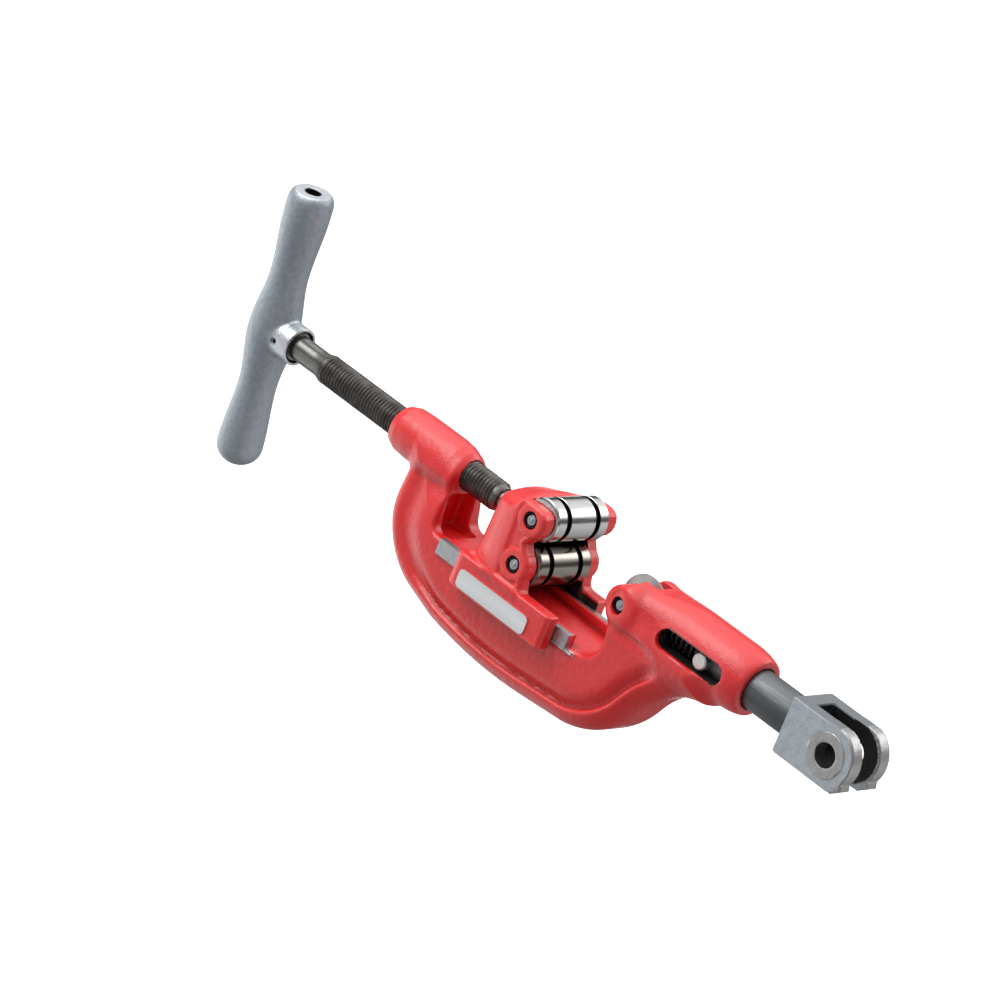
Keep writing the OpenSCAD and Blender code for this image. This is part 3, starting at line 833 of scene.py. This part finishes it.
def roller_profile():
    """Half of a roller's section along its axis and its mirror image, with the two turned grooves."""
    h = ROLLER_HALF
    g = ROLLER_R - 1.6
    r = ROLLER_R
    half = [(0, r), (10.4, r), (10.6, r - 0.25), (10.7, g), (14.5, g), (14.6, r - 0.25), (14.8, r),
            (h - 1.6, r), (h - 0.5, r - 0.6), (h, r - 1.6), (h, PIN_R + 0.05)]
    return [(-a, b) for a, b in reversed(half)] + half[1:]


def pin_profile(half):
    """A pin with chamfered ends and a shallow turned dimple in each."""
    side = [(0, 0), (0, 1.2), (0.5, 1.6), (0.5, PIN_R - 0.9), (1.2, PIN_R - 0.2), (1.4, PIN_R - 0.02)]
    lower = [(-half + 0.3 + a, r) for a, r in side]
    upper = [(half - 0.3 - a, r) for a, r in reversed(side)]
    return lower + upper


def ring(centre, face, name, material):
    """A snap ring of round-edged wire in its counterbore, on one side."""
    t = 1.2
    inner, outer = PIN_R + 0.03, RING_R
    profile = [(0, inner), (0, outer), (t - 0.4, outer), (t, outer - 0.4), (t, inner + 0.25),
               (t - 0.25, inner)]
    sign = 1 if face > 0 else -1
    start = abs(face) - 2
    profile = [(sign * (start + a), r) for a, r in profile]
    if sign > 0:
        profile = profile[::-1]
    return lathe(name, profile, [material], "y", (centre[0], 0, centre[2]), 48)


PITCH = 2.54                 # 10 threads per inch
THREAD = (-447.5, -290.2)


def screw_mesh(name, materials):
    """The feed screw as one skin: shank, thread run-out, helical thread, chamfer, neck and groove."""
    steps, sides = 7, 56
    stations = [-503, -503, -502.2]
    profile = [0.0, 7.2, 8.0]
    stations += [-477.6, -477.6, -476.0, -476.0]
    profile += [8.0, 9.2, 9.2, 8.0]
    stations += list(np.linspace(-462, -452, 3)) + [-447]
    profile += [8.0, 8.0, 8.0, SCREW_R]
    count = int((THREAD[1] - THREAD[0]) / PITCH * steps)
    body = np.linspace(-446.6, -290.7, count)
    stations += list(body)
    profile += [SCREW_R] * count
    stations += [-289.2, -286.8, -286.5, -286.5, -276.4, -276.4, -271.6, -271.6, -267, -266, -266]
    profile += [9.0, 7.7, 7.4, 6.0, 6.0, 4.4, 4.4, 6.0, 6.0, 5.0, 0.0]
    stations, profile = np.array(stations, float), np.array(profile)
    turn = np.linspace(0, 2 * math.pi, sides, endpoint=False)
    x = stations[:, None] + 0 * turn
    phase = (x / PITCH - turn / (2 * math.pi)) % 1
    tooth = np.clip(np.abs(phase - 0.5) * 2.6 - 0.25, 0, 1)
    run_in = step_up(x, THREAD[0] + 1, THREAD[0] + 5)
    run_out = 1 - step_up(x, -289, -287.2)
    amount = run_in * run_out * (profile[:, None] > 7.5)
    r = profile[:, None] - 0.95 * tooth * amount
    points = np.stack([x, r * np.cos(turn), r * np.sin(turn)], axis=-1).reshape(-1, 3)
    faces = []
    for i in range(len(stations) - 1):
        for j in range(sides):
            k = (j + 1) % sides
            faces.append((i * sides + j, i * sides + k, (i + 1) * sides + k, (i + 1) * sides + j))
    mesh = make_mesh(name, points, faces, 40)
    shank = 1 - step_up(points[:, 0], -456, -449)
    tip = step_up(points[:, 0], -290.3, -288.8)
    store(mesh, "bare", shank + tip)
    return add_object(name, mesh, materials)


# ---------------------------------------------------------------- the whole tool

def put(obj, body, slot, *nodes):
    """Takes the place of CAD nodes, and moves with their body."""
    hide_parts(*nodes)
    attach(obj, body)


def repaint(node, material):
    """A CAD node whose shape stays, in a better material."""
    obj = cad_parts[node]
    for material_slot in obj.material_slots:
        material_slot.material = material
    if not obj.material_slots:
        obj.data.materials.append(material)


make_camera()
make_world()
make_lights()
make_backdrop()

frame_red = enamel("frame_red", (0.86, 0.014, 0.018))
# The slide's red is a little lighter than the frame's: painted light, for the brighter light on the slide's
# sides
slide_red = enamel("slide_red", (0.90, 0.018, 0.020))
grey_cast = cast_aluminium("handle_cast", (0.40, 0.45, 0.50), (0.66, 0.70, 0.74))
clevis_grey = cast_aluminium("clevis_cast", (0.50, 0.55, 0.60), (0.46, 0.46, 0.46), 0.5)
polished = machined("polished_steel", (0.66, 0.66, 0.65), 0.18, (900, 60, 900), 0.00001, 0.05)
painted_shade_steel = machined("painted_shade_steel", (0.30, 0.27, 0.24), 0.20, (900, 60, 900), 0.00001, 0.05)
pin_steel = machined("pin_steel", (0.46, 0.49, 0.52), 0.45, (500, 500, 500), 0.00002)
bright_pin = machined("bright_pin", (0.97, 0.97, 0.96), 0.5, (300, 300, 300), 0.00002)
spindle_steel = machined("spindle_steel", (0.17, 0.18, 0.185), 0.42, (60, 900, 900), 0.00010, 0.12)
wheel_steel = machined("wheel_steel", (0.70, 0.70, 0.68), 0.36, (200, 200, 200), 0.00003)
plate_metal = machined("plate_aluminium", (0.93, 0.95, 0.96), 0.46, (60, 300, 300), 0.00001, 0.03)
keeper_steel = machined("keeper_steel", (0.35, 0.35, 0.36), 0.42, (300, 300, 300), 0.00004)
black_ring = machined("black_ring", (0.02, 0.02, 0.022), 0.4, (400, 400, 400), 0.00002)
spring_steel = machined("spring_steel", (0.14, 0.14, 0.15), 0.35, (400, 400, 400), 0.00002)
screw_steel = dark_thread("screw_steel")

frame_casting = casting("c_frame_casting", frame_field, low("c_frame") - 2, high("c_frame") + 2,
                        [frame_red], bare=frame_bare_and_shade)
put(frame_casting, "frame", "frame_enamel", "c_frame")
slide_casting = casting("slide_casting", slide_field, low("slide_housing") - 3, high("slide_housing") + 3,
                        [slide_red], bare=slide_painted_shade)
put(slide_casting, "slide", "slide_enamel", "slide_housing")
handle_casting = casting("t_handle_casting", handle_field, low("t_handle") - 2, high("t_handle") + 2,
                         [grey_cast], bare=handle_bare_and_shade)
put(handle_casting, "screw", "handle_aluminium", "t_handle")
clevis_forging = casting("clevis_forging", clevis_field, low("clevis") - 2, high("clevis") + 2,
                         [clevis_grey], STEP * 0.75, clevis_bare_and_shade)
put(clevis_forging, "arm", "clevis_paint", "clevis")
put(screw_mesh("feed_screw_thread", [screw_steel]), "screw", "screw_steel", "feed_screw")

# The lower roller takes a darker copy of the roller steel: painted shade
for name, centre, steel in (("upper", UPPER, polished), ("lower", LOWER, painted_shade_steel)):
    roller = lathe(f"{name}_roller_turned", roller_profile(), [steel, black_ring], "y",
                   (centre[0], 0, centre[2]), 128)
    # Faces at the bottom of the two grooves take the black material, as painted shade in the grooves
    for face in roller.data.polygons:
        if math.hypot(face.center.x / MM - centre[0], face.center.z / MM - centre[2]) < ROLLER_R - 0.5:
            if abs(abs(face.center.y / MM) - 12.6) < 2.1:    # the bottom of a groove
                face.material_index = 1
    put(roller, f"{name}_roll", "roller_steel", f"{name}_roller")
    pin = lathe(f"{name}_pin_turned", pin_profile(high(f"{name}_roller_pin")[1]), [pin_steel], "y",
                (centre[0], 0, centre[2]), 48)
    put(pin, "slide", "pin_steel", f"{name}_roller_pin")
put(lathe("wheel_pin_turned", pin_profile(high("wheel_pin")[1]), [pin_steel], "y", (WHEEL[0], 0, 0), 48),
    "frame", "pin_steel", "wheel_pin")

for side, sign in (("near", -1), ("far", 1)):
    wheel_ring = ring(WHEEL, sign * (HALF - 0.2), f"wheel_ring_{side}", black_ring)
    put(wheel_ring, "frame", "black_ring", "wheel_pin_rings")
    for name, centre in (("upper", UPPER), ("lower", LOWER)):
        roller_ring = ring(centre, sign * SLIDE_HALF, f"{name}_ring_{side}", black_ring)
        put(roller_ring, "slide", "black_ring", "roller_pin_rings")

# One side of the wheel, from its ground edge in to the bore
WHEEL_SIDE = [(0.1, WHEEL_R - 0.1), (1.6, 12.6), (1.95, 10.5), (2.15, 9), (2.6, 8.2), (4.3, 7.6),
              (4.9, 7.3), (5.2, 6.8), (5.2, PIN_R + 0.05)]
wheel_profile = [(-along, radius) for along, radius in reversed(WHEEL_SIDE)] + WHEEL_SIDE
wheel = lathe("cutter_wheel_ground", wheel_profile, [wheel_steel], "y", (WHEEL[0], 0, 0), 128)
put(wheel, "wheel", "wheel_steel", "cutter_wheel")

half = high("stop_pin")[1]
STOP_PROFILE = [(-half, 0), (-half, 4.2), (-half + 0.8, 5), (half - 0.8, 5), (half, 4.2), (half, 0)]
stop_pin = lathe("stop_pin_turned", STOP_PROFILE, [bright_pin], "y", (middle("stop_pin")[0], 0, 0), 64)
put(stop_pin, "arm", "bright_pin", "stop_pin")
SPINDLE_PROFILE = [(-108, 0), (-108, 11.2), (-107.4, 12), (-106.5, 12.6), (-105.5, SPINDLE_R),
                   (-36.5, SPINDLE_R), (-35.4, SPINDLE_R - 0.5), (-35.15, 11.5), (-35.15, 9), (-28, 9),
                   (-28, 0)]
put(lathe("spindle_turned", SPINDLE_PROFILE, [spindle_steel]), "arm", "spindle_steel", "spindle")

REPAINTED = {
    "name_plate": plate_metal,
    "way_keepers": keeper_steel,
    "keeper_screws": black_ring,
    "screw_lock_pins": pin_steel,
    "thrust_button": pin_steel,
    "handle_pin": pin_steel,
    "wheel_washers": wheel_steel,
    "float_spring": spring_steel,
}
for node, material in REPAINTED.items():
    repaint(node, material)
